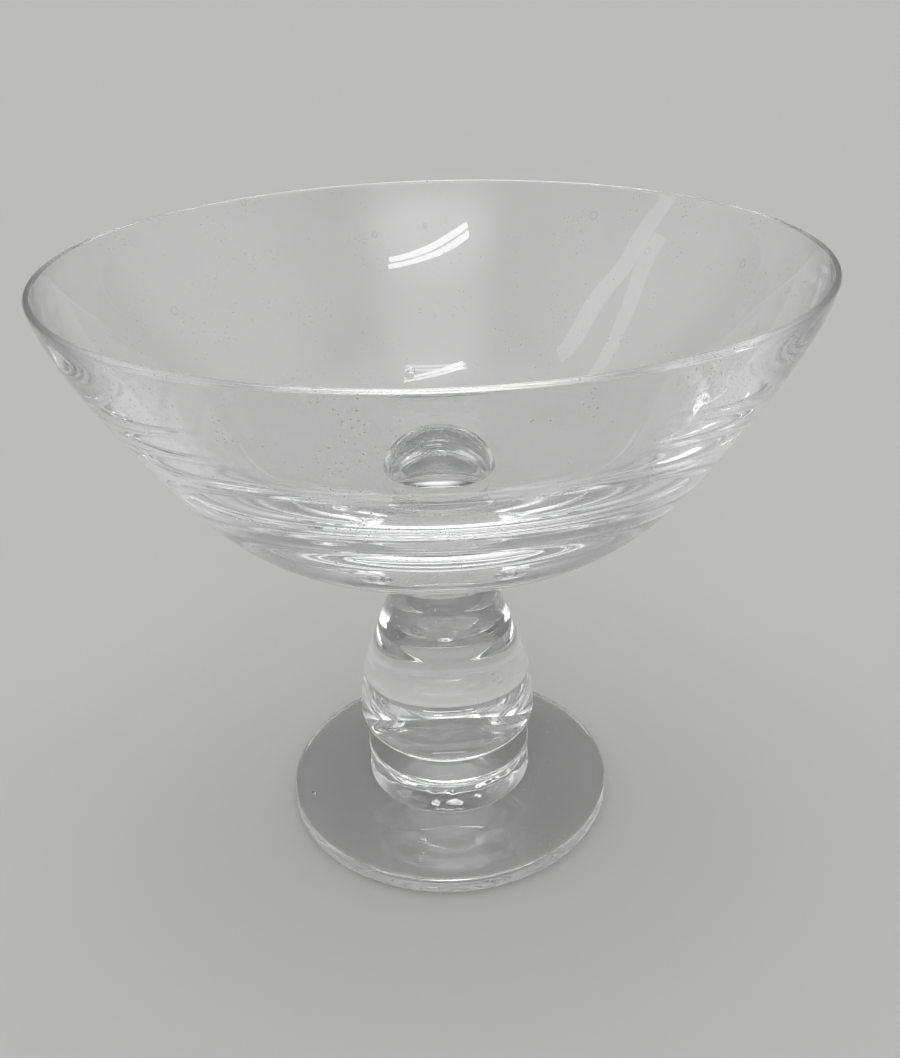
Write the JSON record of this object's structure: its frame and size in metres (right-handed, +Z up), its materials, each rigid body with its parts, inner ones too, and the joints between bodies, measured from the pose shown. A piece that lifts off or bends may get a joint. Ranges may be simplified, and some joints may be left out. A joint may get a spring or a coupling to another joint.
{
  "type": "compote bowl",
  "caption": "Clear glass footed compote: wide flared bowl with a thick floor on a solid egg-shaped stem, a drum collar and a round flat foot, for serving fruit or sweets.",
  "frame": {"origin": "centre of the foot's underside, on the surface that the compote stands on", "axes": "+Z up along the turning axis, from the foot to the rim; X and Y are any two level directions, because the compote is round"},
  "size_m": [0.228, 0.228, 0.1979],
  "materials": {
    "bowl_glass": "clear, fire-polished",
    "stem_glass": "clear, solid, polished",
    "collar_glass": "clear, solid, slightly uneven",
    "foot_glass": "clear, polished, with a few seed bubbles"
  },
  "bodies": {
    "root": {"bowl": "bowl_glass", "stem": "stem_glass", "collar": "collar_glass", "foot": "foot_glass"}
  },
  "joints": []
}
